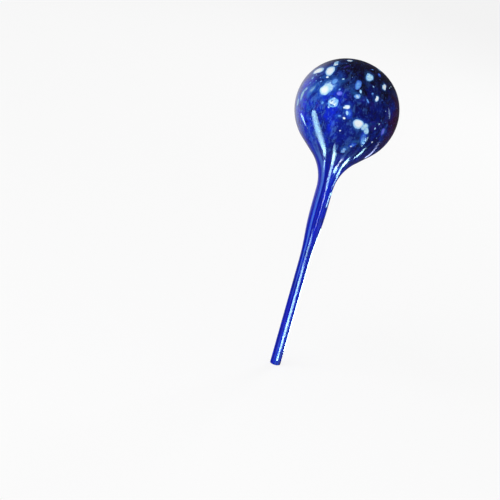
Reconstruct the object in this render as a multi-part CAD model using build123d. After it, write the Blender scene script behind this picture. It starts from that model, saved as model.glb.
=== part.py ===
from build123d import *
import math
import os

# Watering globe of hand-blown glass: a hollow bulb, drawn out into a long stem that is open only at its tip.
# It is filled through the tip, turned over and pushed into the soil of a potted plant.
# While the glass was hot the bulb was rolled in crushed white and blue glass, so chips lie fused in its skin.
# Frame: +Z runs up the stem's axis, the origin is the middle of the open tip, and -Y faces the viewer.
# Lengths are in millimetres and angles in degrees.

# Outside of the blown body
bulb_radius = 45.0
shoulder_angle = 46.0
throat_radius = 41.0
stem_radius = 7.3
tip_radius = 4.7

# Stretches of the stem, from the tip up
foot_length = 98.0
taper_length = 52.0
upper_length = 17.0

# Thickness of the glass
bulb_wall = 1.8
throat_wall = 2.0
stem_wall = 2.1
bore_radius = 3.0

# Glass chips in the bulb's skin
chip_depth = 0.9
chip_overrun = 1.0
chip_corners = 9
lobe_share = 0.1
lobe_turn = 77.0
view_elevation = 11.6

# Chips on the back of the bulb, each a step higher and a golden share of the half turn further round
back_chip_count = 14
back_lowest_share = -0.62
back_highest_share = 0.92
back_largest_share = 0.25
back_smallest_share = 0.12
back_slimmest_share = 0.6
golden_share = 0.618

# Chips that show from the front, as the viewer sees them: how far across and up from the bulb's middle, the
# length and the width, each as a share of the bulb's radius, then the angle of the length from level
white_shares = [
    (0.276, -0.205, 0.225, 0.190, 0),
    (-0.495, 0.25, 0.240, 0.180, 62),
    (-0.50, 0.635, 0.250, 0.155, 64),
    (-0.715, 0.575, 0.260, 0.085, 38),
    (-0.01, 0.045, 0.130, 0.085, 15),
    (0.485, 0.345, 0.125, 0.060, 80),
    (-0.20, 0.93, 0.120, 0.035, 10),
    (0.56, 0.605, 0.130, 0.075, 95),
    (0.147, -0.755, 0.150, 0.055, 68),
]
pale_shares = [
    (-0.28, 0.06, 0.240, 0.185, 45),
    (0.244, 0.715, 0.170, 0.155, 120),
    (0.455, -0.285, 0.150, 0.100, 110),
    (-0.365, 0.45, 0.180, 0.100, 62),
    (0.12, 0.29, 0.140, 0.090, 20),
    (-0.43, 0.81, 0.110, 0.060, 62),
]
blue_shares = [
    (0.08, 0.51, 0.220, 0.115, 86),
    (-0.21, 0.255, 0.140, 0.095, 20),
    (0.445, -0.48, 0.200, 0.085, 96),
    (0.76, -0.22, 0.180, 0.055, 86),
    (0.41, 0.81, 0.090, 0.050, 130),
]

# Heights and curves that follow from the sizes above
lean = math.radians(shoulder_angle)
taper_end = foot_length + taper_length
neck_height = taper_end + upper_length


def cone_length(bulb, throat, stem):
    """Length of the straight slope that is tangent to both the bulb and the throat."""
    return (bulb * math.cos(lean) - stem - throat * (1 - math.cos(lean))) / math.sin(lean)


def neck_to_centre(bulb, throat, stem):
    """Rise from the neck, where the throat starts to open, to the middle of the bulb."""
    return (bulb + throat) * math.sin(lean) + cone_length(bulb, throat, stem) * math.cos(lean)


bulb_height = neck_height + neck_to_centre(bulb_radius, throat_radius, stem_radius)
bulb_centre = Vector(0, 0, bulb_height)
lip_radius = (tip_radius - bore_radius) / 2


def side_line(bulb, throat, stem, tip):
    """Edges of one side of the glass, from the lip up to the crown, for the radii given."""
    run = stem - tip
    taper_radius = (run**2 + taper_length**2) / (4 * run)
    taper_angle = 2 * math.degrees(math.atan2(run, taper_length))
    foot = Line((tip, lip_radius), (tip, foot_length))
    opening = JernArc(foot @ 1, foot % 1, taper_radius, -taper_angle)
    closing = JernArc(opening @ 1, opening % 1, taper_radius, taper_angle)
    upper = Line(closing @ 1, (stem, bulb_height - neck_to_centre(bulb, throat, stem)))
    flare = JernArc(upper @ 1, upper % 1, throat, -shoulder_angle)
    slope = PolarLine(flare @ 1, cone_length(bulb, throat, stem), direction=flare % 1)
    crown = JernArc(slope @ 1, slope % 1, bulb, 90 + shoulder_angle)
    return [foot, opening, closing, upper, flare, slope, crown]


def blown_body():
    """The whole body in one piece, with its hollow and its flame-rounded lip."""
    outside = side_line(bulb_radius, throat_radius, stem_radius, tip_radius)
    inside = side_line(
        bulb_radius - bulb_wall, throat_radius + throat_wall, stem_radius - stem_wall, bore_radius
    )
    top = Line(outside[-1] @ 1, inside[-1] @ 1)
    lip = ThreePointArc(inside[0] @ 0, (bore_radius + lip_radius, 0), outside[0] @ 0)
    section = make_face([*outside, top, *inside, lip])
    return revolve(Plane.XZ * section, Axis.Z)


def seen_direction(across, up):
    """Direction from the bulb's middle to a spot that the viewer sees in front of it."""
    tilt = math.radians(view_elevation)
    near = math.sqrt(1 - across**2 - up**2)
    return Vector(
        across,
        up * math.sin(tilt) - near * math.cos(tilt),
        up * math.cos(tilt) + near * math.sin(tilt),
    )


def chip_block(direction, sight, length, width, turn, number):
    """A short block on the chip's flat underside, with the uneven outline that is seen by looking against sight."""
    across = Vector(0, 0, 1).cross(sight).normalized().rotate(Axis((0, 0, 0), sight), turn)
    beside = sight.cross(across)
    underside_centre = bulb_centre + direction * (bulb_radius - chip_depth)
    corners = []
    for step in range(chip_corners):
        angle = math.tau * step / chip_corners
        swell = 1 + lobe_share * math.sin(3 * angle + math.radians(lobe_turn * number))
        seen = (across * length * math.cos(angle) + beside * width * math.sin(angle)) * (swell / 2)
        corners.append(underside_centre + seen - sight * (seen.dot(direction) / sight.dot(direction)))
    return extrude(make_face(Polyline(*corners, close=True)), chip_depth + chip_overrun, dir=direction)


def front_blocks(shares):
    """Blocks for the chips of one table."""
    viewer = seen_direction(0, 0)
    blocks = []
    for number, (across, up, length, width, turn) in enumerate(shares):
        direction = seen_direction(across, up)
        size = (length * bulb_radius, width * bulb_radius)
        blocks.append(chip_block(direction, viewer, *size, turn, number))
    return blocks


def back_blocks():
    """Blocks for the chips of the hidden side, large and small by turns."""
    blocks = []
    for number in range(back_chip_count):
        golden_step = (number * golden_share) % 1
        rise = back_lowest_share + (back_highest_share - back_lowest_share) * number / (back_chip_count - 1)
        flat = math.sqrt(1 - rise**2)
        bearing = math.pi * golden_step
        direction = Vector(flat * math.cos(bearing), flat * math.sin(bearing), rise)
        size_step = (number * golden_share * 3) % 1
        size = bulb_radius * (back_smallest_share + (back_largest_share - back_smallest_share) * size_step)
        slimness = back_slimmest_share + (1 - back_slimmest_share) * golden_step
        blocks.append(chip_block(direction, direction, size, size * slimness, 360 * golden_step, number))
    return blocks


blocks = {
    "white_chip": front_blocks(white_shares),
    "pale_blue_chip": front_blocks(pale_shares),
    "mid_blue_chip": front_blocks(blue_shares),
}
colours = list(blocks)
for number, block in enumerate(back_blocks()):
    blocks[colours[number % len(colours)]].append(block)

# The blocks cut the pockets, and each chip is what its block shares with the ball that the bulb is part of
bulb_ball = Pos(bulb_centre) * Sphere(bulb_radius)
all_blocks = [block for group in blocks.values() for block in group]

os.makedirs("parts", exist_ok=True)
export_step(blown_body() - all_blocks, "parts/glass_globe.step")
for colour, group in blocks.items():
    for number, block in enumerate(group):
        export_step(block & bulb_ball, f"parts/{colour}_{number + 1:02d}.step")
print("overall length", round(bulb_height + bulb_radius, 2), "bulb height", round(bulb_height, 2))
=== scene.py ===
import math
import random

import bmesh
import bpy
from mathutils import Matrix, Vector, geometry, kdtree, noise


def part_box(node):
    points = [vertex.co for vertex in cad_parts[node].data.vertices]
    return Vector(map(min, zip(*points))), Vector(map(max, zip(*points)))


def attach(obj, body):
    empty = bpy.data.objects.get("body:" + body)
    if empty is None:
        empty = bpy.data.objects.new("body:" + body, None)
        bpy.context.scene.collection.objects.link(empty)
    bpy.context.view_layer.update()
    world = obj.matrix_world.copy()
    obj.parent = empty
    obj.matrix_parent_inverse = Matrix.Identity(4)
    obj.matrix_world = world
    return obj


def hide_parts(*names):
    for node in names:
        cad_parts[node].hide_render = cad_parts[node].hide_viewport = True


# A watering globe of hand-blown glass: a cobalt bulb with half-melted chips in its skin, drawn out to a stem.
# Metres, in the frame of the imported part: +Z up the stem, the open tip at the origin, -Y towards the viewer.

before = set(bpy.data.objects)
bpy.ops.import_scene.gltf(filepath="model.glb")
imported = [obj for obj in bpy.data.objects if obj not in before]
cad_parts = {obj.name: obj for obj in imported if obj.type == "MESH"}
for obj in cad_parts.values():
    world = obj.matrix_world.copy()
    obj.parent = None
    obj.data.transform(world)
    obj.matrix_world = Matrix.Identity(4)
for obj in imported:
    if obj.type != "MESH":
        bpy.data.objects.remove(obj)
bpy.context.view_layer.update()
bodyLow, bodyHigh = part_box("glass_globe")
bulbRadius = (bodyHigh.y - bodyLow.y) / 2
bulbMiddle = Vector((0, 0, bodyHigh.z - bulbRadius))
upAxis = Vector((0, 0, 1))
viewLift = math.radians(11.6)                                   # how far the viewer looks down on the globe

globe = {
    "shoulderAngle": 46.0,       # degrees that the slope below the bulb leans from the axis
    "throatRadius": 0.041,
    "stemRadius": 0.0073,
    "tipRadius": 0.0047,
    "boreRadius": 0.003,
    "footLength": 0.098,
    "taperLength": 0.052,
    "bulbWall": 0.0018,
    "throatWall": 0.002,
    "stemWall": 0.0021,
    "skinGap": 0.00008,          # the chips' tops stand this far out of the skin
    "crownSink": 0.036,          # share of its radius that the crown has sagged
    "swayShare": 0.004,          # how uneven the blown bulb is, as a share of its radius
    "swayPitch": 22.0,
    "around": 192,
    "bulbSteps": 40,             # steps of the inside's line, and the outside's has twice as many
    "slopeSteps": 4,
    "flareSteps": 12,
    "upperSteps": 4,
    "bendSteps": 6,
    "footSteps": 12,
    "lipSteps": 10,
    "weldGap": 1e-6,
}


def blown(point):
    # Moves a point of the ideal shape to where it is on this one, which is a little flat and uneven.
    climb = max(0.0, (point.z - bulbMiddle.z) / bulbRadius)
    swell = min(1.0, max(0.0, (point.z - globe["footLength"]) / globe["taperLength"]))
    sway = globe["swayShare"] * swell * (1 + noise.noise(point * globe["swayPitch"])) / 2
    moved = Vector((point.x * (1 - sway), point.y * (1 - sway), point.z))
    moved.z -= globe["crownSink"] * bulbRadius * climb ** 2
    return moved


def seenDirection(across, up):
    # Direction from the bulb's middle to the spot that is seen there from the front.
    near = math.sqrt(1 - across ** 2 - up ** 2)
    return Vector((
        across,
        up * math.sin(viewLift) - near * math.cos(viewLift),
        up * math.cos(viewLift) + near * math.sin(viewLift),
    ))


def sideways(towards):
    # The level and the rising direction along the skin at a spot.
    level = upAxis.cross(towards).normalized()
    return level, towards.cross(level)


def addObject(name, data):
    made = bpy.data.objects.new(name, data)
    bpy.context.scene.collection.objects.link(made)
    return made


def meshObject(name, bm, material):
    mesh = bpy.data.meshes.new(name)
    bm.to_mesh(mesh)
    bm.free()
    mesh.materials.append(material)
    return addObject(name, mesh)


def finishPiece(name, bm, material):
    for face in bm.faces:
        face.smooth = True
    piece = meshObject(name, bm, material)
    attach(piece, "root")
    return piece


# Node helpers: a value that is a socket is linked, any other value is set on the input

def feed(tree, node, values):
    for name, value in values.items():
        if isinstance(value, bpy.types.NodeSocket):
            tree.links.new(value, node.inputs[name])
        else:
            node.inputs[name].default_value = value


def addNode(tree, kind, inputs, **settings):
    made = tree.nodes.new("ShaderNode" + kind)
    for name, value in settings.items():
        setattr(made, name, value)
    feed(tree, made, inputs)
    return made


def calc(tree, operation, first, second=0.0):
    return addNode(tree, "Math", {0: first, 1: second}, operation=operation).outputs[0]


def times(tree, first, *others):
    for other in others:
        first = calc(tree, "MULTIPLY", first, other)
    return first


def vectorCalc(tree, operation, first, second=(0.0, 0.0, 0.0)):
    return addNode(tree, "VectorMath", {0: first, 1: second}, operation=operation).outputs[0]


def fade(tree, value, start, end, low=0.0, high=1.0):
    limits = {"Value": value, "From Min": start, "From Max": end, "To Min": low, "To Max": high}
    return addNode(tree, "MapRange", limits, interpolation_type="SMOOTHSTEP").outputs["Result"]


def blendColour(tree, share, first, second):
    return addNode(tree, "Mix", {0: share, 6: first, 7: second}, data_type="RGBA").outputs[2]


def cloudNoise(tree, vector, scale, detail=4.0, distortion=0.5, roughness=0.55):
    return addNode(tree, "TexNoise", {
        "Vector": vector, "Scale": scale, "Detail": detail, "Distortion": distortion, "Roughness": roughness,
    }).outputs["Fac"]


def bumped(tree, height, look):
    inputs = {"Height": height, "Strength": look["bumpStrength"], "Distance": look["bumpDistance"]}
    return addNode(tree, "Bump", inputs).outputs["Normal"]


def newMaterial(name):
    material = bpy.data.materials.new(name)
    material.use_nodes = True
    return material, material.node_tree, material.node_tree.nodes["Principled BSDF"]


def bulbCoordinates(tree):
    # Object coordinates with the bulb's middle at zero and its radius as 1.
    place = addNode(tree, "TexCoord", {})
    return addNode(tree, "Mapping", {
        "Vector": place.outputs["Object"],
        "Location": bulbMiddle * (-1 / bulbRadius),
        "Scale": (1 / bulbRadius,) * 3,
    }).outputs["Vector"]


def newGroup(name, inputs, outputs):
    tree = bpy.data.node_groups.new(name, "ShaderNodeTree")
    for label, kind in inputs:
        tree.interface.new_socket(name=label, in_out="INPUT", socket_type="NodeSocket" + kind)
    for label, kind in outputs:
        tree.interface.new_socket(name=label, in_out="OUTPUT", socket_type="NodeSocket" + kind)
    return tree, tree.nodes.new("NodeGroupInput").outputs, tree.nodes.new("NodeGroupOutput").inputs


def useGroup(tree, group, inputs):
    return addNode(tree, "Group", inputs, node_tree=group).outputs


grainLook = {
    "wavePitch": 30.0,
    "waveShift": 0.02,           # how far a grain's outline strays from round
    "leastSize": 0.35,           # chance adds up to 1 to it, and the sum is a share of the group's size
    "core": 0.55,                # share of the way out where a grain starts to fade
}
smearLook = {"detail": 5.0, "distortion": 0.8, "roughness": 0.6, "start": 0.42, "full": 0.75}


def makeGrainGroup():
    # Scattered round grains of uneven size: a mask of them, and a random value for each grain.
    tree, given, gives = newGroup(
        "glassGrain",
        [("Vector", "Vector"), ("Scale", "Float"), ("Size", "Float"), ("Share", "Float")],
        [("Mask", "Float"), ("Random", "Float")],
    )
    waves = {"Vector": given["Vector"], "Scale": grainLook["wavePitch"], "Detail": 2.0}
    wavy = addNode(tree, "TexNoise", waves).outputs["Color"]
    shift = vectorCalc(tree, "MULTIPLY", wavy, (grainLook["waveShift"],) * 3)
    place = vectorCalc(tree, "ADD", given["Vector"], shift)
    cells = addNode(tree, "TexVoronoi", {"Vector": place, "Scale": given["Scale"]})
    parts = addNode(tree, "SeparateColor", {"Color": cells.outputs["Color"]})
    reach = times(tree, given["Size"], calc(tree, "ADD", parts.outputs["Red"], grainLook["leastSize"]))
    near = calc(tree, "DIVIDE", cells.outputs["Distance"], reach)
    grain = fade(tree, near, 1.0, grainLook["core"])
    kept = calc(tree, "LESS_THAN", parts.outputs["Green"], given["Share"])
    tree.links.new(times(tree, grain, kept), gives["Mask"])
    tree.links.new(parts.outputs["Blue"], gives["Random"])
    return tree


def makeSmearGroup():
    # Finger marks and dried water: an uneven roughness between two values.
    tree, given, gives = newGroup(
        "glassSmear",
        [("Vector", "Vector"), ("Scale", "Float"), ("Low", "Float"), ("High", "Float")],
        [("Roughness", "Float")],
    )
    look = smearLook
    cloud = cloudNoise(
        tree, given["Vector"], given["Scale"], look["detail"], look["distortion"], look["roughness"]
    )
    rough = fade(tree, cloud, look["start"], look["full"], given["Low"], given["High"])
    tree.links.new(rough, gives["Roughness"])
    return tree


grainGroup = makeGrainGroup()
smearGroup = makeSmearGroup()


# Heights and ways across in radii of the bulb from its middle; a pitch is the scale of the noise
cobaltLook = {
    "bright": (0.007, 0.030, 0.900, 1),      # thin, vivid glass
    "cobalt": (0.006, 0.020, 0.380, 1),
    "navy": (0.004, 0.007, 0.150, 1),
    "dense": (0.004, 0.001, 0.016, 1),       # nearly black violet glass, on the crown and in the painted shade on the right
    "cloud": (0.022, 0.130, 0.780, 1),
    "violet": (0.060, 0.030, 0.420, 1),
    "rimShade": (0.055, 0.002, 0.042, 1),        # painted shade: a dark wine-coloured rim along the right edge
    "line": (0.130, 0.330, 0.950, 1),        # pale glass drawn out to lines in the throat and stem, partly a painted highlight along them
    "shadowLine": (0.004, 0.006, 0.200, 1),  # dense glass between the pale lines
    "halo": (0.050, 0.290, 0.960, 1),
    "paleHaloAndRimSheen": (0.420, 0.760, 1.000, 1),
    "grain": (0.100, 0.280, 0.880, 1),
    "transmission": 0.3,
    "ior": 1.5,
    "cobaltDensity": 0.35,       # the glass is bright at density 0, dense at 1, and these two in between
    "navyDensity": 0.68,
    "leastDensity": 0.16,
    # The side's share is painted shade, which darkens the glass towards the right
    "sideDensity": 0.50,         # what each region adds
    "crownDensity": 0.65,
    "drawnDensity": -0.45,
    "patchyDensity": 1.3,        # times a noise between -0.5 and 0.5
    "fineDensity": 0.9,
    "patchyPitch": 2.4,
    "finePitch": 8.0,
    "shadeSideFade": (-0.7, 0.6),     # each fade starts at its first value and is full at its second
    "crownFade": (0.3, 0.95),
    "drawnFade": (-0.6, -1.25),
    "crownCalm": 0.85,           # share of the clouds and flecks that the crown loses
    "rightShadeFade": (0.55, -0.6),
    "rightShadeMarks": 0.2,           # share of them that is left on the right, which stays dark as painted shade
    "fleckClimb": 0.45,          # lower draws the flecks out more upwards
    "rimShadeFade": (0.72, 0.99),
    "rimShadeRagged": 0.45,
    "rimShadeStrength": 0.85,
    "haloPitch": 9.0,
    "haloBroken": (0.3, 0.6, 0.45, 1.0),     # noise where halos are weak and full, and their strengths
    "paleHaloFade": (0.35, 0.75, 0.0, 0.95),
    "wavePitch": 2.5,
    "waveShare": 0.3,
    "bumpStrength": 0.25,
    "bumpDistance": 0.001,
    "smear": {"Scale": 5.0, "Low": 0.06, "High": 0.12},
}
# Marks in the bulb's wall: colour, whether the crown and the right are spared (which keeps the right dark as
# painted shade), the field of the noise, its pitch, detail and distortion, the noise where the mark starts and
# where it is full, and its strength
cobaltMarks = [
    ("cloud", True, "spot", 4.5, 5.0, 1.2, 0.50, 0.64, 0.8),
    ("grain", True, "upwards", 11.0, 4.0, 0.8, 0.54, 0.66, 0.7),
    ("grain", True, "upwards", 27.0, 4.0, 1.0, 0.55, 0.68, 0.7),
    ("navy", False, "spot", 13.0, 5.0, 1.2, 0.55, 0.66, 0.7),
    ("violet", False, "shifted", 4.0, 4.0, 0.8, 0.56, 0.74, 0.45),
]
# Powder that melted right in: pitch, size, share of the grains that show, and strength
cobaltGrains = [(22.0, 0.34, 0.30, 0.50), (46.0, 0.36, 0.35, 0.30)]
lineLook = {                     # lines drawn out along the throat and the stem, the pale ones partly a painted highlight
    "climb": 0.10,               # higher breaks them into shorter ones
    "broadPitch": 2.3,
    "broadShare": 0.55,
    "finePitch": 11.0,
    "fineShare": 0.45,
    "heightFade": (-0.30, -1.05),
    "shadowFade": (0.49, 0.40),
    "shadowStrength": 0.6,
    "paleFade": (0.51, 0.60),
    "paleStrength": 0.75,
    "duskyPitch": 5.0,
    "duskyFade": (0.52, 0.62, 0.0, 0.5),
}


def makeCobalt():
    material, tree, shader = newMaterial("cobaltGlass")
    look = cobaltLook
    spot = bulbCoordinates(tree)
    parts = addNode(tree, "SeparateXYZ", {0: spot}).outputs

    # How dense the colour is: more at the crown, more on the right side as painted shade, less in the
    # drawn-out throat and stem
    patchy = calc(tree, "SUBTRACT", cloudNoise(tree, spot, look["patchyPitch"]), 0.5)
    fine = calc(tree, "SUBTRACT", cloudNoise(tree, spot, look["finePitch"], 6.0, 1.0), 0.5)
    crown = fade(tree, parts["Z"], *look["crownFade"])
    # Painted shade: darker towards the right side
    side = fade(tree, parts["X"], *look["shadeSideFade"])
    drawn = fade(tree, parts["Z"], *look["drawnFade"])
    density = look["leastDensity"]
    regions = {"side": side, "crown": crown, "patchy": patchy, "fine": fine, "drawn": drawn}
    for name, mask in regions.items():
        density = calc(tree, "ADD", density, times(tree, mask, look[name + "Density"]))
    ramp = addNode(tree, "ValToRGB", {"Fac": density})
    stops = ramp.color_ramp.elements
    stops[0].color = look["bright"]
    stops[1].color = look["dense"]
    stops.new(look["cobaltDensity"]).color = look["cobalt"]
    stops.new(look["navyDensity"]).color = look["navy"]
    colour = ramp.outputs["Color"]

    # Clouds, flecks and specks inside the bulb's wall, and a painted shade on its right: a dark wine rim along
    # the edge
    onBulb = calc(tree, "SUBTRACT", 1.0, drawn)
    calm = calc(tree, "SUBTRACT", 1.0, times(tree, crown, look["crownCalm"]))
    # Fewer pale marks on the right, so that it stays dark: painted shade
    calm = times(tree, calm, fade(tree, parts["X"], *look["rightShadeFade"], look["rightShadeMarks"], 1.0))
    flat = addNode(tree, "CombineXYZ", {0: parts["X"], 1: parts["Y"]}).outputs[0]
    turned = addNode(tree, "SeparateXYZ", {0: vectorCalc(tree, "NORMALIZE", flat)}).outputs

    def drawnOut(climb):
        # Coordinates that are the same all the way up at each side, but for a little climb.
        risen = times(tree, parts["Z"], climb)
        return addNode(tree, "CombineXYZ", {0: turned["X"], 1: turned["Y"], 2: risen}).outputs[0]

    fields = {
        "spot": spot,
        "upwards": drawnOut(look["fleckClimb"]),
        "shifted": vectorCalc(tree, "ADD", spot, (5.0, 3.0, 1.0)),
    }
    for tint, spared, field, pitch, detail, distortion, start, full, strength in cobaltMarks:
        cloud = cloudNoise(tree, fields[field], pitch, detail, distortion)
        mark = times(tree, fade(tree, cloud, start, full, 0.0, strength), onBulb)
        colour = blendColour(tree, times(tree, mark, calm) if spared else mark, colour, look[tint])
    # Painted shade: a dark rim along the bulb's right edge, made ragged by the noise
    uneven = times(tree, calc(tree, "ADD", patchy, fine), look["rimShadeRagged"])
    ragged = calc(tree, "ADD", parts["X"], uneven)
    rimShade = times(tree, fade(tree, ragged, *look["rimShadeFade"], 0.0, look["rimShadeStrength"]), onBulb)
    colour = blendColour(tree, rimShade, colour, look["rimShade"])

    # Halos and soft clouds, with a painted reflection along the left rim, painted on the body's points, and
    # fine grains of powder
    paint = addNode(tree, "Attribute", {}, attribute_name="paleCloudAndRimSheen").outputs["Fac"]
    broken = fade(tree, cloudNoise(tree, spot, look["haloPitch"], 5.0, 0.8), *look["haloBroken"])
    veil = times(tree, paint, broken)
    # The strongest of these, the band along the left rim, turns pale: a painted reflection
    colour = blendColour(tree, veil, colour, look["halo"])
    colour = blendColour(tree, fade(tree, veil, *look["paleHaloFade"]), colour, look["paleHaloAndRimSheen"])
    for pitch, size, share, strength in cobaltGrains:
        grain = useGroup(tree, grainGroup, {"Vector": spot, "Scale": pitch, "Size": size, "Share": share})
        amount = times(tree, grain["Mask"], grain["Random"], strength, onBulb)
        colour = blendColour(tree, amount, colour, look["grain"])

    # Lines drawn out along the throat and the stem, the pale ones partly a painted highlight
    along = drawnOut(lineLook["climb"])
    broad = cloudNoise(tree, along, lineLook["broadPitch"], 2.0, 0.0)
    narrow = cloudNoise(tree, along, lineLook["finePitch"], 3.0, 0.0, 0.6)
    broadPart = times(tree, broad, lineLook["broadShare"])
    lines = calc(tree, "ADD", broadPart, times(tree, narrow, lineLook["fineShare"]))
    tapered = fade(tree, parts["Z"], *lineLook["heightFade"])
    between = times(tree, fade(tree, lines, *lineLook["shadowFade"]), tapered, lineLook["shadowStrength"])
    colour = blendColour(tree, between, colour, look["shadowLine"])
    # Pale lines: drawn-out glass, and partly a painted highlight on the stem
    streak = times(tree, fade(tree, lines, *lineLook["paleFade"]), tapered, lineLook["paleStrength"])
    colour = blendColour(tree, streak, colour, look["line"])
    dusky = fade(tree, cloudNoise(tree, along, lineLook["duskyPitch"], 2.0, 0.0), *lineLook["duskyFade"])
    colour = blendColour(tree, times(tree, dusky, tapered), colour, look["violet"])

    waves = times(tree, cloudNoise(tree, spot, look["wavePitch"], 1.0, 0.0), look["waveShare"])
    height = calc(tree, "ADD", times(tree, broad, tapered), waves)
    feed(tree, shader, {
        "Base Color": colour,
        "Roughness": useGroup(tree, smearGroup, {"Vector": spot, **look["smear"]})["Roughness"],
        "Normal": bumped(tree, height, look),
        "Transmission Weight": look["transmission"],
        "IOR": look["ior"],
    })
    return material


meltLook = {                     # what all chips, crumbs and swirls share
    "wanderPitch": 26.0,
    "blotchPitch": 15.0,
    "blotchFade": (0.35, 0.65),
    "grainSize": 0.42,
    "grainsKept": 0.7,
    "veilFull": 0.93,            # shares of the way to the rim where the veil and the blue glass are full
    "meltFull": 1.0,
    "smear": {"Scale": 8.0, "Low": 0.08, "High": 0.22},
    "pit": -0.4,                 # how deep the grains dent the surface
    "wavePitch": 12.0,
    "bumpStrength": 0.3,
    "bumpDistance": 0.0004,
    "ior": 1.5,
    "coat": 0.5,
    "coatRoughness": 0.04,
}


def makeChipGlass(name, look):
    # Half-melted glass: its own colour in the middle, veiled by the blue glass round its rim, with bubbles.
    material, tree, shader = newMaterial(name)
    spot = bulbCoordinates(tree)
    rim = addNode(tree, "Attribute", {}, attribute_name="rimShare").outputs["Fac"]
    strayed = calc(tree, "SUBTRACT", cloudNoise(tree, spot, meltLook["wanderPitch"], 5.0, 1.0), 0.5)
    veiled = calc(tree, "ADD", rim, times(tree, strayed, look["wander"]))
    cloud = cloudNoise(tree, spot, meltLook["blotchPitch"], 6.0, 1.5)
    blotch = fade(tree, cloud, *meltLook["blotchFade"])
    colour = blendColour(tree, blotch, look["second"], look["main"])
    grain = useGroup(tree, grainGroup, {
        "Vector": spot, "Scale": look["grainScale"],
        "Size": meltLook["grainSize"], "Share": meltLook["grainsKept"],
    })
    colour = blendColour(tree, times(tree, grain["Mask"], look["grainShare"]), colour, look["grain"])
    veil = fade(tree, veiled, look["veilStart"], meltLook["veilFull"])
    colour = blendColour(tree, veil, colour, look["veil"])
    melted = fade(tree, veiled, look["meltStart"], meltLook["meltFull"])
    colour = blendColour(tree, melted, colour, cobaltLook["cobalt"])
    pits = times(tree, grain["Mask"], meltLook["pit"])
    height = calc(tree, "ADD", pits, cloudNoise(tree, spot, meltLook["wavePitch"]))
    feed(tree, shader, {
        "Base Color": colour,
        "Roughness": useGroup(tree, smearGroup, {"Vector": spot, **meltLook["smear"]})["Roughness"],
        "Normal": bumped(tree, height, meltLook),
        "IOR": meltLook["ior"],
        "Coat Weight": meltLook["coat"],
        "Coat Roughness": meltLook["coatRoughness"],
    })
    return material


chipLooks = {                    # the veil starts and the blue melts in at these shares of the way to the rim
    "whiteGlass": {
        "main": (0.96, 0.98, 1.00, 1), "second": (0.78, 0.90, 0.98, 1), "grain": (0.55, 0.76, 0.90, 1),
        "veil": (0.26, 0.56, 0.92, 1), "veilStart": 0.50, "meltStart": 0.90, "wander": 0.34,
        "grainScale": 30.0, "grainShare": 0.25,
    },
    "paleBlueGlass": {
        "main": (0.62, 0.90, 1.00, 1), "second": (0.24, 0.56, 0.94, 1), "grain": (0.06, 0.24, 0.70, 1),
        "veil": (0.14, 0.40, 0.86, 1), "veilStart": 0.55, "meltStart": 0.90, "wander": 0.50,
        "grainScale": 28.0, "grainShare": 0.60,
    },
    "midBlueGlass": {
        "main": (0.14, 0.42, 0.82, 1), "second": (0.10, 0.27, 0.82, 1), "grain": (0.30, 0.56, 0.92, 1),
        "veil": (0.03, 0.10, 0.55, 1), "veilStart": 0.40, "meltStart": 0.90, "wander": 0.55,
        "grainScale": 24.0, "grainShare": 0.40,
    },
    "ringedGlass": {
        "main": (0.95, 0.98, 0.98, 1), "second": (0.86, 0.95, 0.97, 1), "grain": (0.62, 0.82, 0.94, 1),
        "veil": (0.36, 0.70, 0.92, 1), "veilStart": 0.36, "meltStart": 0.97, "wander": 0.45,
        "grainScale": 30.0, "grainShare": 0.25,
    },
    "bubblyGlass": {
        "main": (0.84, 0.97, 1.00, 1), "second": (0.14, 0.46, 0.95, 1), "grain": (0.008, 0.080, 0.50, 1),
        "veil": (0.14, 0.46, 0.95, 1), "veilStart": 0.40, "meltStart": 0.90, "wander": 0.90,
        "grainScale": 14.0, "grainShare": 1.00,
    },
    "hazyGlass": {
        "main": (0.52, 0.72, 0.90, 1), "second": (0.20, 0.42, 0.84, 1), "grain": (0.72, 0.82, 0.94, 1),
        "veil": (0.07, 0.26, 0.80, 1), "veilStart": 0.25, "meltStart": 0.90, "wander": 0.90,
        "grainScale": 24.0, "grainShare": 0.60,
    },
    "violetGlass": {
        "main": (0.19, 0.25, 0.90, 1), "second": (0.10, 0.12, 0.80, 1), "grain": (0.50, 0.60, 0.95, 1),
        "veil": (0.03, 0.05, 0.60, 1), "veilStart": 0.30, "meltStart": 0.90, "wander": 0.80,
        "grainScale": 22.0, "grainShare": 0.60,
    },
    "milkyGlass": {
        "main": (0.56, 0.83, 0.95, 1), "second": (0.34, 0.62, 0.90, 1), "grain": (0.70, 0.88, 0.95, 1),
        "veil": (0.06, 0.26, 0.84, 1), "veilStart": 0.45, "meltStart": 0.68, "wander": 0.80,
        "grainScale": 26.0, "grainShare": 0.35,
    },
    "smokyGlass": {
        "main": (0.08, 0.28, 0.86, 1), "second": (0.02, 0.10, 0.70, 1), "grain": (0.20, 0.50, 0.92, 1),
        "veil": (0.010, 0.050, 0.58, 1), "veilStart": 0.05, "meltStart": 0.30, "wander": 1.20,
        "grainScale": 26.0, "grainShare": 0.35,
    },
}
cobalt = makeCobalt()
chipGlass = {kind: makeChipGlass(kind, look) for kind, look in chipLooks.items()}
print("materials made", len(chipGlass) + 1)


# Chips and crumbs: pads that lie in the skin, each with a rounded rim

padLook = {
    "depth": 0.0009,
    "sink": 0.0,                 # how far the top lies below the bulb's own radius
    "plump": 1 / 3,              # 1 is a lens, lower is a flat pad with a full rim
    "around": 44,
    "rings": 16,
    "cornerSoftness": 14.0,      # higher follows the chip's corners more closely
}
crumbLook = {"depth": 0.0005, "sink": 0.0, "plump": 1 / 2, "around": 12, "rings": 7}
swirlLook = {"depth": 0.0005, "sink": 0.00004, "plump": 1 / 2, "around": 44, "rings": 24}
haloLook = {                     # spreads are shares of the mark's size
    "strength": 0.22,
    "spread": 0.5,
    "cloudSpread": 1.3,
    "margin": 1.1,               # points are looked for this many times as far out
}
pads = []                        # every chip's direction, outline, reach and halo, for the halos in the glass


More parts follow.
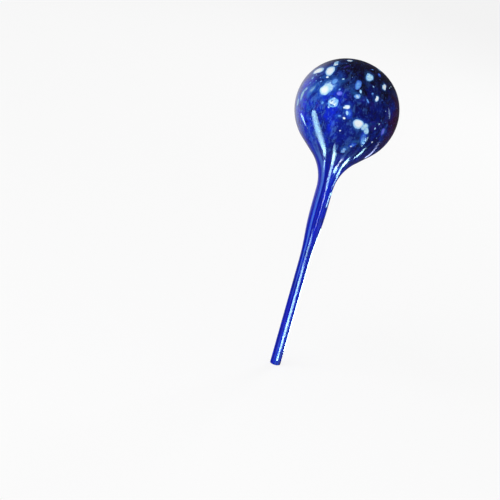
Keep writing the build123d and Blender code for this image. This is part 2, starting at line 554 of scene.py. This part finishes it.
def addPad(bm, towards, reach, look):
    level, rise = sideways(towards)
    rimLayer = bm.verts.layers.float.get("rimShare") or bm.verts.layers.float.new("rimShare")
    made = bmesh.ops.create_uvsphere(bm, u_segments=look["around"], v_segments=look["rings"], radius=1)
    half = look["depth"] / 2
    for vert in made["verts"]:
        spread = min(1.0, math.hypot(vert.co.x, vert.co.y)) ** look["plump"]
        turn = math.atan2(vert.co.y, vert.co.x)
        out = spread * reach(turn)
        lift = math.copysign(abs(vert.co.z) ** look["plump"], vert.co.z) * half
        along = towards * bulbRadius + level * (out * math.cos(turn)) + rise * (out * math.sin(turn))
        vert[rimLayer] = spread
        vert.co = blown(bulbMiddle + along.normalized() * (bulbRadius - look["sink"] - half + lift))


def chipShape(node):
    # A chip's direction from the bulb's middle, and how far its outline reaches at each turn.
    points = [vert.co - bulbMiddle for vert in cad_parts[node].data.vertices]
    towards = sum(points, Vector()).normalized()
    level, rise = sideways(towards)
    flat = [Vector((point.dot(level), point.dot(rise))) for point in points]
    corners = [flat[index] for index in geometry.convex_hull_2d(flat)]
    centre = sum(corners, Vector((0, 0))) / len(corners)
    towards = (towards * bulbRadius + level * centre.x + rise * centre.y).normalized()
    spokes = [(math.atan2(*(corner - centre).yx), (corner - centre).length) for corner in corners]

    def reach(turn):
        shares = [math.exp(padLook["cornerSoftness"] * (math.cos(turn - angle) - 1)) for angle, _ in spokes]
        return sum(share * length for share, (_, length) in zip(shares, spokes)) / sum(shares)

    return towards, reach, max(length for _, length in spokes)


chipKinds = {"white_chip": "whiteGlass", "pale_blue_chip": "paleBlueGlass", "mid_blue_chip": "midBlueGlass"}
slots = {"whiteGlass": "white_glass", "paleBlueGlass": "pale_blue_glass", "midBlueGlass": "mid_blue_glass"}
unlikeChips = {
    "white_chip_02": "ringedGlass", "pale_blue_chip_01": "bubblyGlass",
    "white_chip_09": "hazyGlass", "pale_blue_chip_04": "midBlueGlass", "pale_blue_chip_05": "hazyGlass",
    "mid_blue_chip_02": "violetGlass", "mid_blue_chip_04": "violetGlass", "mid_blue_chip_05": "smokyGlass",
}
for node in sorted(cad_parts):
    kind = chipKinds.get(node.rsplit("_", 1)[0])
    if kind is None:
        continue
    towards, reach, furthest = chipShape(node)
    bm = bmesh.new()
    addPad(bm, towards, reach, padLook)
    chip = finishPiece(node + ".melted", bm, chipGlass[unlikeChips.get(node, kind)])
    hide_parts(node)
    bare = kind == "midBlueGlass" or node in unlikeChips
    pads.append((towards, reach, furthest, 0.0 if bare else haloLook["strength"]))
print("chips melted", len(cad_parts) - 1)


def ellipse(length, width, turn):
    # Reach of an oval with that length and width, whose length lies at that turn from level.
    def reach(angle):
        part = angle - math.radians(turn)
        return length * width / 2 / math.hypot(width * math.cos(part), length * math.sin(part))
    return reach


crumbs = {
    "seed": 11,
    "scattered": 110,
    "largest": 0.0009,
    "smallest": 0.0003,
    "rarity": 2.5,               # higher makes the larger ones rarer
    "slimmest": 0.5,             # least width as a share of the length
    "lowestRise": -0.72,         # heights as shares of the bulb's radius
    "riseSpan": 1.7,
    "nudge": 0.5,                # radians that a crumb may lie off the spiral
    "kinds": ["whiteGlass", "paleBlueGlass", "midBlueGlass", "paleBlueGlass", "midBlueGlass"],
}
# Crumbs that show from the front: across, up, length and width as shares of the bulb's radius, and the turn
seenCrumbs = {
    "whiteGlass": [
        (-0.006, -0.168, 0.060, 0.050, 0),
        (-0.43, 0.775, 0.110, 0.070, 65),
        (-0.515, 0.495, 0.070, 0.050, 20),
        (0.26, -0.64, 0.050, 0.035, 60),
        (0.62, -0.46, 0.045, 0.035, 90),
        (-0.015, -0.41, 0.040, 0.030, 40),
        (0.68, 0.65, 0.045, 0.025, 140),
        (-0.06, 0.02, 0.045, 0.030, 150),
    ],
    "paleBlueGlass": [
        (0.155, 0.40, 0.095, 0.045, 105),
        (0.02, -0.06, 0.110, 0.060, 110),
        (0.655, -0.098, 0.045, 0.030, 10),
        (0.60, -0.20, 0.050, 0.035, 80),
        (0.36, 0.555, 0.050, 0.030, 140),
        (-0.22, 0.54, 0.060, 0.035, 30),
        (-0.78, 0.40, 0.060, 0.035, 100),
        (-0.34, -0.05, 0.055, 0.030, 160),
        (0.66, 0.615, 0.040, 0.025, 20),
        (-0.73, 0.48, 0.035, 0.025, 40),
    ],
    "midBlueGlass": [
        (0.26, 0.877, 0.080, 0.035, 170),
        (-0.23, 0.33, 0.060, 0.040, 60),
        (0.33, 0.26, 0.120, 0.045, 125),
        (0.38, 0.42, 0.070, 0.040, 30),
        (-0.10, -0.15, 0.080, 0.050, 20),
        (-0.47, 0.0, 0.080, 0.060, 80),
        (-0.61, 0.38, 0.070, 0.040, 50),
        (-0.80, 0.30, 0.060, 0.035, 75),
        (-0.70, 0.37, 0.045, 0.030, 60),
        (-0.64, 0.45, 0.040, 0.030, 120),
    ],
}


def scatterCrumbs():
    # Small crumbs all round the bulb, on a spiral that each is nudged off, and none on a chip.
    goldenTurn = math.pi * (3 - math.sqrt(5))
    dice = random.Random(crumbs["seed"])
    placed = []
    for number in range(crumbs["scattered"]):
        rise = crumbs["lowestRise"] + (crumbs["riseSpan"] * (number + dice.random())) / crumbs["scattered"]
        bearing = number * goldenTurn + dice.uniform(-crumbs["nudge"], crumbs["nudge"])
        flat = math.sqrt(max(0.0, 1 - rise ** 2))
        towards = Vector((flat * math.cos(bearing), flat * math.sin(bearing), rise))
        more = dice.random() ** crumbs["rarity"]
        size = crumbs["smallest"] + (crumbs["largest"] - crumbs["smallest"]) * more
        slim = dice.uniform(crumbs["slimmest"], 1.0)
        turn = dice.uniform(0, 180)
        if all((towards - other).length * bulbRadius > far + size for other, _, far, _ in pads):
            kind = crumbs["kinds"][number % len(crumbs["kinds"])]
            placed.append((kind, towards, ellipse(size, size * slim, turn)))
    return placed


crumbPieces = {kind: bmesh.new() for kind in slots}
for kind, places in seenCrumbs.items():
    for across, up, length, width, turn in places:
        outline = ellipse(length * bulbRadius, width * bulbRadius, turn)
        addPad(crumbPieces[kind], seenDirection(across, up), outline, crumbLook)
for kind, towards, outline in scatterCrumbs():
    addPad(crumbPieces[kind], towards, outline, crumbLook)
for kind, bm in crumbPieces.items():
    finishPiece(slots[kind].replace("_glass", "_crumbs"), bm, chipGlass[kind])
print("crumbs placed")

# Swirls that melted down just under the chips' tops: across, up, length, width and turn as for the crumbs
swirls = {
    "milkyGlass": ("milky_swirls", "pale_blue_glass", [
        (-0.462, 0.29, 0.42, 0.26, 63),
        (0.405, -0.225, 0.19, 0.15, 55),
    ]),
    "smokyGlass": ("smoky_swirls", "mid_blue_glass", [
        (0.05, -0.06, 0.26, 0.17, 110),
        (0.44, -0.42, 0.34, 0.16, 100),
        (0.28, -0.61, 0.20, 0.12, 40),
    ]),
}
for kind, (name, slot, places) in swirls.items():
    bm = bmesh.new()
    for across, up, length, width, turn in places:
        outline = ellipse(length * bulbRadius, width * bulbRadius, turn)
        addPad(bm, seenDirection(across, up), outline, swirlLook)
    finishPiece(name, bm, chipGlass[kind])
print("swirls melted in")


# The blown body: lines are drawn outside and inside from the crown to the lip, joined there, and spun round

lean = math.radians(globe["shoulderAngle"])
lipRadius = (globe["tipRadius"] - globe["boreRadius"]) / 2


def sweepArc(bm, start, centre, degrees, steps):
    made = bmesh.ops.spin(
        bm, geom=[start], cent=centre, axis=(0, 1, 0), angle=math.radians(degrees),
        steps=steps, use_duplicate=False,
    )
    return next(item for item in made["geom_last"] if isinstance(item, bmesh.types.BMVert))


def runTo(bm, start, end, steps):
    last = start
    for step in range(steps):
        last = bmesh.ops.extrude_vert_indiv(bm, verts=[last])["verts"][0]
        last.co = start.co.lerp(end, (step + 1) / steps)
    return last


def slopeLength(bulb, throat, stem):
    # Length of the straight slope between the bulb and the throat.
    return (bulb * math.cos(lean) - stem - throat * (1 - math.cos(lean))) / math.sin(lean)


def drawSide(bm, bulb, throat, stem, tip, fineness):
    # One side's line from the crown down to where the lip starts.
    slope = slopeLength(bulb, throat, stem)
    neck = bulbMiddle.z - (bulb + throat) * math.sin(lean) - slope * math.cos(lean)
    taperEnd = globe["footLength"] + globe["taperLength"]
    bend = ((stem - tip) ** 2 + globe["taperLength"] ** 2) / (4 * (stem - tip))
    bendAngle = 2 * math.degrees(math.atan2(stem - tip, globe["taperLength"]))
    crown = bm.verts.new(bulbMiddle + upAxis * bulb)
    last = sweepArc(bm, crown, bulbMiddle, 90 + globe["shoulderAngle"], globe["bulbSteps"] * fineness)
    slopeEnd = last.co - Vector((math.sin(lean), 0, math.cos(lean))) * slope
    last = runTo(bm, last, slopeEnd, globe["slopeSteps"] * fineness)
    flareSteps = globe["flareSteps"] * fineness
    last = sweepArc(bm, last, (stem + throat, 0, neck), -globe["shoulderAngle"], flareSteps)
    last = runTo(bm, last, Vector((stem, 0, taperEnd)), globe["upperSteps"] * fineness)
    bendSteps = globe["bendSteps"] * fineness
    last = sweepArc(bm, last, (stem - bend, 0, taperEnd), bendAngle, bendSteps)
    last = sweepArc(bm, last, (tip + bend, 0, globe["footLength"]), -bendAngle, bendSteps)
    return runTo(bm, last, Vector((tip, 0, lipRadius)), globe["footSteps"] * fineness)


def makeBody():
    bm = bmesh.new()
    outerEnd = drawSide(
        bm, bulbRadius - globe["skinGap"], globe["throatRadius"], globe["stemRadius"], globe["tipRadius"], 2
    )
    sweepArc(bm, outerEnd, (globe["boreRadius"] + lipRadius, 0, lipRadius), 180, globe["lipSteps"])
    drawSide(
        bm, bulbRadius - globe["bulbWall"], globe["throatRadius"] + globe["throatWall"],
        globe["stemRadius"] - globe["stemWall"], globe["boreRadius"], 1,
    )
    bmesh.ops.spin(
        bm, geom=bm.verts[:] + bm.edges[:], cent=(0, 0, 0), axis=(0, 0, 1), angle=math.tau,
        steps=globe["around"], use_merge=True, use_duplicate=False,
    )
    bmesh.ops.remove_doubles(bm, verts=bm.verts, dist=globe["weldGap"])
    bmesh.ops.recalc_face_normals(bm, faces=bm.faces)
    for vert in bm.verts:
        vert.co = blown(vert.co)
    return finishPiece("blown_glass", bm, cobalt)


# Soft pale clouds seen in the bulb's wall, and a painted reflection as a pale band along its left rim: across,
# up, length, width, turn and strength
cloudsAndRimSheen = [
    (-0.44, 0.34, 0.56, 0.36, 60, 0.80),
    (-0.27, 0.475, 0.32, 0.14, 32, 0.40),
    # The next three paint the pale band along the left rim: a painted reflection
    (-0.885, 0.03, 0.34, 0.12, 92, 1.2),
    (-0.93, -0.12, 0.24, 0.14, 88, 1.1),
    (-0.84, 0.16, 0.16, 0.10, 70, 0.9),
    (0.04, -0.05, 0.28, 0.19, 110, 0.60),
    (0.44, -0.44, 0.36, 0.18, 100, 0.60),
    (0.41, -0.23, 0.22, 0.18, 60, 0.60),
    (0.05, 0.33, 0.22, 0.12, 160, 0.50),
    (-0.47, 0.00, 0.20, 0.14, 100, 0.45),
    (-0.73, 0.20, 0.40, 0.20, 70, 0.70),
    (-0.80, 0.40, 0.22, 0.12, 60, 0.40),
    (0.30, -0.56, 0.28, 0.14, 40, 0.45),
    (0.16, -0.72, 0.26, 0.12, 60, 0.40),
    (0.78, -0.20, 0.26, 0.09, 85, 0.45),
    (-0.12, -0.16, 0.16, 0.11, 20, 0.40),
    (-0.58, 0.47, 0.18, 0.12, 20, 0.45),
    (0.14, 0.30, 0.20, 0.12, 60, 0.40),
]


def paintCloudsAndRimSheen(body):
    # Soft halos round the chips, the clouds and the painted reflection along the left rim, as a value at each
    # point of the body.
    values = [0.0] * len(body.data.vertices)
    tree = kdtree.KDTree(len(values))
    for vert in body.data.vertices:
        tree.insert(vert.co, vert.index)
    tree.balance()
    marks = [(*pad, 1.0, haloLook["spread"]) for pad in pads]
    for across, up, length, width, turn, strength in cloudsAndRimSheen:
        outline = ellipse(length * bulbRadius, width * bulbRadius, turn)
        far = length * bulbRadius / 2
        marks.append((seenDirection(across, up), outline, far, strength, 0.0, haloLook["cloudSpread"]))
    for towards, reach, far, strength, start, spread in marks:
        level, rise = sideways(towards)
        widest = far * (start + spread) * haloLook["margin"]
        for place, index, _ in tree.find_range(bulbMiddle + towards * bulbRadius, widest):
            away = place - bulbMiddle
            across, up = away.dot(level), away.dot(rise)
            share = math.hypot(across, up) / reach(math.atan2(up, across))
            left = min(1.0, max(0.0, 1 - (share - start) / spread))
            values[index] = max(values[index], strength * left ** 2 * (3 - 2 * left))
    layer = body.data.attributes.new("paleCloudAndRimSheen", "FLOAT", "POINT")
    layer.data.foreach_set("value", values)


body = makeBody()
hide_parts("glass_globe")
paintCloudsAndRimSheen(body)
print("body blown with", len(body.data.polygons), "faces")


# Studio: a pale floor and world, three soft lamps, and chains of small lamps that only the gloss sees

studio = {
    "cameraDistance": 1.5,
    "focalPixels": 1747.0,       # focal length in pixels of the photograph
    "photoSize": 500.0,
    "bulbPixel": (346.6, 109.3),
    "leanAngle": 15.6,           # degrees that the globe leans to the right in the photograph
    "sensorWidth": 36.0,
    "floorSize": 6.0,
    "floorTint": (0.9, 0.9, 0.9, 1),
    "floorGlow": 0.8,            # share of the floor that glows by itself, which keeps its shadow pale
    "worldLight": (0.5, 0.5, 0.5, 1),
    "worldTint": (0.90, 0.90, 0.90, 1),
    "glossLevel": 0.05,          # how bright the background is in the gloss
    "glossGlow": 0.9,            # and on its bright side, behind and to the left
    "glowWay": (-0.70, 0.70, -0.12),
    "glowStart": 0.72,           # how far a way has to lie along the glow's way, where 1 is right along it
    "glowFull": 0.99,
    "floorRoughness": 0.9,
    "clipStart": 0.01,
}
softLamps = {                    # place, size, watts, and the beam's width in degrees
    "cameraLamp": (bulbMiddle + seenDirection(-0.01, 0.05) * 1.7, 0.10, 1.3, 80.0),
    "softTop": (Vector((-0.7, -0.7, 1.3)), 0.8, 7.0, 180.0),
    "backFill": (Vector((0.6, 1.6, 1.2)), 0.5, 9.0, 180.0),
}


def viewAxes(walked=0.0):
    # Right, up and back towards a viewer who has walked round the globe by that angle, with its axis upright.
    up = Vector((0, math.sin(viewLift), math.cos(viewLift)))
    back = Vector((0, -math.cos(viewLift), math.sin(viewLift)))
    turn = Matrix.Rotation(walked, 3, "Z")
    return turn @ Vector((1, 0, 0)), turn @ up, turn @ back


def placeObject(item, axes, place):
    # Turns a camera or a lamp so that its X, Y and Z lie along the axes.
    for row in range(3):
        for column in range(3):
            item.matrix_world[row][column] = axes[column][row]
        item.matrix_world[row][3] = place[row]


def makeCamera():
    roll = math.radians(studio["leanAngle"])
    right, up, back = viewAxes()
    photoRight = right * math.cos(roll) + up * math.sin(roll)
    photoUp = up * math.cos(roll) - right * math.sin(roll)
    eye = bulbMiddle + back * studio["cameraDistance"]
    scale = studio["cameraDistance"] / studio["focalPixels"]
    across = studio["bulbPixel"][0] - studio["photoSize"] / 2
    above = studio["photoSize"] / 2 - studio["bulbPixel"][1]
    target = bulbMiddle - photoRight * (across * scale) - photoUp * (above * scale)
    away = (eye - target).normalized()
    side = photoUp.cross(away).normalized()
    turned = (side, away.cross(side), away)
    data = bpy.data.cameras.new("photoCamera")
    data.sensor_width = studio["sensorWidth"]
    data.lens = data.sensor_width * studio["focalPixels"] / studio["photoSize"]
    data.clip_start = studio["clipStart"]
    camera = addObject("photoCamera", data)
    placeObject(camera, turned, eye)
    bpy.context.scene.camera = camera


def studioGloss(tree, away):
    # How bright the background is in the glass's gloss: dim, and bright on one side behind the globe.
    ways = {0: vectorCalc(tree, "NORMALIZE", away), 1: studio["glowWay"]}
    side = addNode(tree, "VectorMath", ways, operation="DOT_PRODUCT").outputs["Value"]
    limits = [studio[name] for name in ("glowStart", "glowFull", "glossLevel", "glossGlow")]
    return fade(tree, side, *limits)


def makeFloor():
    bm = bmesh.new()
    bmesh.ops.create_grid(bm, x_segments=1, y_segments=1, size=studio["floorSize"] / 2)
    material, tree, matt = newMaterial("paleFloor")
    tint, rough = studio["floorTint"], studio["floorRoughness"]
    feed(tree, matt, {"Base Color": tint, "Roughness": rough, "Specular IOR Level": 0.0})
    path = addNode(tree, "LightPath", {}).outputs
    place = addNode(tree, "TexCoord", {}).outputs["Object"]
    away = vectorCalc(tree, "SUBTRACT", place, bulbMiddle)
    level = blendColour(tree, path["Is Glossy Ray"], (1, 1, 1, 1), studioGloss(tree, away))
    glow = addNode(tree, "Emission", {"Color": level, "Strength": 1.0})
    seen = calc(tree, "MAXIMUM", path["Is Camera Ray"], path["Is Transmission Ray"])
    share = calc(tree, "MAXIMUM", times(tree, seen, studio["floorGlow"]), path["Is Glossy Ray"])
    mixed = addNode(tree, "MixShader", {0: share, 1: matt.outputs[0], 2: glow.outputs[0]})
    feed(tree, tree.nodes["Material Output"], {"Surface": mixed.outputs[0]})
    meshObject("floor", bm, material)


def makeWorld():
    world = bpy.data.worlds.new("studio")
    world.use_nodes = True
    bpy.context.scene.world = world
    tree = world.node_tree
    way = addNode(tree, "TexCoord", {}).outputs["Generated"]
    path = addNode(tree, "LightPath", {}).outputs
    seenWhite = calc(tree, "MAXIMUM", path["Is Camera Ray"], path["Is Transmission Ray"])
    level = blendColour(tree, path["Is Glossy Ray"], studio["worldLight"], studioGloss(tree, way))
    level = blendColour(tree, seenWhite, level, studio["worldTint"])
    feed(tree, tree.nodes["Background"], {"Color": level, "Strength": 1.0})


def addSoftLamp(name, place, size, power, beam):
    data = bpy.data.lights.new(name, "AREA")
    data.size = size
    data.energy = power
    data.spread = math.radians(beam)
    lamp = addObject(name, data)
    lamp.location = place
    lamp.rotation_euler = (bulbMiddle - place).to_track_quat("-Z", "Y").to_euler()
    for kind in ("camera", "glossy", "transmission"):
        setattr(lamp, "visible_" + kind, False)


def smoothed(places, steps):
    # Places on a smooth curve through the ones given.
    last = len(places) - 1
    for index in range(last):
        before, start, end, after = (places[min(last, max(0, index + step))] for step in (-1, 0, 1, 2))
        for step in range(steps):
            part = step / steps
            straight = 2 * start + (end - before) * part
            bent = (2 * before - 5 * start + 4 * end - after) * part ** 2
            yield (straight + bent + (3 * (start - end) + after - before) * part ** 3) / 2
    yield places[-1]


def outsideRadius(height):
    # Radius of the glass at a height, for the shape before it is made uneven.
    stem, throat, tip = globe["stemRadius"], globe["throatRadius"], globe["tipRadius"]
    slope = slopeLength(bulbRadius, throat, stem)
    shoulder = bulbMiddle.z - bulbRadius * math.sin(lean)
    neck = shoulder - slope * math.cos(lean) - throat * math.sin(lean)
    if height > shoulder:
        return math.sqrt(max(0.0, bulbRadius ** 2 - (height - bulbMiddle.z) ** 2))
    if height > neck + throat * math.sin(lean):
        return bulbRadius * math.cos(lean) - (shoulder - height) * math.tan(lean)
    if height > neck:
        return stem + throat - math.sqrt(throat ** 2 - (height - neck) ** 2)
    share = min(1.0, max(0.0, (height - globe["footLength"]) / globe["taperLength"]))
    return tip + (stem - tip) * share ** 2 * (3 - 2 * share)


search = {                       # how the spot is found where the line of sight meets the glass
    "reach": 3.0,                # bulb radii before and behind the bulb's middle
    "step": 0.0005,
    "halvings": 16,
    "slopeStep": 0.0001,
    "floorGap": 0.006,           # lamps stay this far above the floor
}


def mirroredPlace(across, up, reach, walked):
    # The place within reach that is seen mirrored at a spot of the globe, and the way to it from the glass.
    right, rise, back = viewAxes(walked)
    distance = studio["cameraDistance"]
    eye = bulbMiddle + back * distance
    ray = (right * (across * bulbRadius) + rise * (up * bulbRadius) - back * distance).normalized()
    gap = 1.0
    far = distance - search["reach"] * bulbRadius
    while gap > 0 and far < distance + search["reach"] * bulbRadius:
        near, far = far, far + search["step"]
        spot = eye + ray * far
        gap = math.hypot(spot.x, spot.y) - outsideRadius(spot.z)
    if gap > 0:
        return None
    for _ in range(search["halvings"]):
        middle = (near + far) / 2
        spot = eye + ray * middle
        if math.hypot(spot.x, spot.y) > outsideRadius(spot.z):
            near = middle
        else:
            far = middle
    step = search["slopeStep"]
    steep = (outsideRadius(spot.z + step) - outsideRadius(spot.z - step)) / (2 * step)
    normal = Vector((spot.x, spot.y, -steep * math.hypot(spot.x, spot.y))).normalized()
    way = ray - normal * (2 * ray.dot(normal))
    if way.z < 0:
        reach = min(reach, (spot.z - search["floorGap"]) / -way.z)
    return spot + way * reach, way


strip = {
    "steps": 3,                  # lamps between two places of a path
    "overlap": 1.06,
    "spread": 24.0,              # the beam's width in degrees, so that only its own spot mirrors the lamp
    # The thin stem mirrors a strip over a wider angle, and the front should hardly mirror the window behind
    "ownSpreads": {"footStrip": 56.0, "backFootStrip": 56.0, "backWindow": 14.0},
    "gain": 14.0,                # makes the glows below come out as they are in the picture
}
sky = (0.52, 0.90, 1.0)
azure = (0.45, 0.68, 1.0)
lavender = (0.78, 0.84, 1.0)
periwinkle = (0.52, 0.60, 1.0)
# Each strip's glow at its start and end, how far it is from the glass, its colour, and the path on which the
# viewer sees it mirrored: across, up and width as shares of the bulb's radius
strips = {
    "leftStrip": (5.7, 5.5, 0.2, sky, [
        (-0.61, -0.185, 0.045), (-0.58, -0.24, 0.092), (-0.53, -0.34, 0.112), (-0.455, -0.47, 0.120),
        (-0.37, -0.60, 0.118), (-0.285, -0.725, 0.096), (-0.215, -0.83, 0.055), (-0.15, -0.925, 0.008),
    ]),
    "thinLeftStrip": (5.2, 3.4, 0.2, sky, [
        (-0.825, -0.31, 0.015), (-0.75, -0.40, 0.028), (-0.68, -0.50, 0.010),
    ]),
    "neckStrip": (2.2, 9.0, 0.05, sky, [
        (-0.045, -0.68, 0.015), (-0.03, -0.78, 0.050), (0.0, -0.95, 0.050), (0.015, -1.20, 0.045),
        (0.02, -1.38, 0.050), (0.035, -1.65, 0.025),
    ]),
    "stemStrip": (6.0, 2.0, 0.12, lavender, [
        (0.035, -1.65, 0.020), (0.035, -1.9, 0.014), (0.03, -2.4, 0.010),
    ]),
    "footStrip": (1.4, 5.5, 0.12, sky, [
        (0.0, -2.4, 0.012), (0.010, -2.8, 0.034), (0.018, -3.3, 0.056), (0.020, -4.2, 0.052),
        (0.018, -5.0, 0.016),
    ]),
    "sparkStrip": (8.5, 8.5, 0.04, sky, [
        (0.11, -1.10, 0.030), (0.094, -1.175, 0.070), (0.085, -1.24, 0.030),
    ]),
    "sparkTail": (2.4, 5.0, 0.04, lavender, [
        (0.20, -0.90, 0.008), (0.15, -1.01, 0.015), (0.11, -1.11, 0.020),
    ]),
    "throatRightStrip": (3.0, 8.0, 0.05, sky, [
        (0.305, -0.86, 0.010), (0.26, -0.95, 0.030), (0.215, -1.07, 0.036), (0.175, -1.19, 0.032),
        (0.155, -1.35, 0.030), (0.138, -1.55, 0.026), (0.125, -1.90, 0.014),
    ]),
    "rightStrip": (5.0, 6.0, 0.08, sky, [
        (0.545, -0.60, 0.008), (0.50, -0.69, 0.022), (0.45, -0.77, 0.020), (0.39, -0.85, 0.006),
    ]),
    "rightUpperStrip": (7.5, 6.5, 0.12, sky, [
        (0.53, -0.40, 0.008), (0.50, -0.50, 0.020), (0.46, -0.60, 0.008),
    ]),
    "rimRightStrip": (2.0, 2.6, 0.1, periwinkle, [
        (0.765, -0.43, 0.008), (0.715, -0.60, 0.018), (0.66, -0.70, 0.018), (0.59, -0.79, 0.006),
    ]),
    "arcStrip": (1.2, 2.0, 0.2, azure, [(0.755, 0.25, 0.008), (0.80, 0.15, 0.030), (0.825, 0.05, 0.008)]),
}
backStrips = {                   # the same for a viewer behind the globe, where the photograph shows nothing
    "backWindow": (3.5, 4.5, 0.2, sky, [
        (-0.50, 0.42, 0.030), (-0.57, 0.27, 0.100), (-0.585, 0.08, 0.115), (-0.56, -0.10, 0.100),
        (-0.49, -0.25, 0.030),
    ]),
    "backNeckStrip": (2.0, 6.0, 0.05, sky, [
        (-0.10, -0.74, 0.012), (-0.085, -0.86, 0.045), (-0.05, -1.02, 0.045), (-0.03, -1.30, 0.040),
        (-0.03, -1.60, 0.015),
    ]),
    "backFootStrip": (2.0, 5.0, 0.12, sky, [
        (-0.02, -2.2, 0.012), (-0.02, -2.8, 0.040), (-0.02, -4.2, 0.050), (-0.02, -5.0, 0.016),
    ]),
}


def addStrip(walked, name, startGlow, endGlow, reach, colour, path):
    # A smooth chain of lamps, each turned to the spot of the glass that mirrors it.
    curve = list(smoothed([Vector(place) for place in path], strip["steps"]))
    edges = []
    for index, place in enumerate(curve):
        ahead = (curve[min(index + 1, len(curve) - 1)] - curve[max(index - 1, 0)]).xy.normalized()
        beside = Vector((-ahead.y, ahead.x)) * (place.z / 2)
        spots = [(place.x + sign * beside.x, place.y + sign * beside.y) for sign in (-1, 1)]
        ends = [mirroredPlace(*spot, reach, walked) for spot in spots]
        if all(ends):
            edges.append(ends)
    for number, ((firstA, firstB), (lastA, lastB)) in enumerate(zip(edges, edges[1:])):
        back = (firstA[1] + firstB[1] + lastA[1] + lastB[1]).normalized()
        across = (firstB[0] - firstA[0] + lastB[0] - lastA[0]) / 2
        along = (lastA[0] + lastB[0] - firstA[0] - firstB[0]) / 2
        across -= back * across.dot(back)
        side = across.normalized()
        turned = (side, back.cross(side), back)
        share = number / max(1, len(edges) - 2)
        data = bpy.data.lights.new(name, "AREA")
        data.shape = "RECTANGLE"
        data.size = across.length
        data.size_y = abs(along.dot(turned[1])) * strip["overlap"]
        data.color = colour
        data.spread = math.radians(strip["ownSpreads"].get(name, strip["spread"]))
        focus = (math.tan(data.spread / 2) - data.spread / 2) * strip["gain"]
        data.energy = (startGlow + (endGlow - startGlow) * share) * math.pi * data.size * data.size_y * focus
        lamp = addObject(f"{name}.{number}", data)
        middle = (firstA[0] + firstB[0] + lastA[0] + lastB[0]) / 4
        placeObject(lamp, turned, middle)
        for kind in ("camera", "diffuse", "transmission", "shadow", "volume_scatter"):
            setattr(lamp, "visible_" + kind, False)


makeCamera()
makeFloor()
makeWorld()
for name, values in softLamps.items():
    addSoftLamp(name, *values)
for walked, given in ((0.0, strips), (math.pi, backStrips)):
    for name, values in given.items():
        addStrip(walked, name, *values)
print("studio set")

bpy.context.scene.view_settings.view_transform = "Standard"
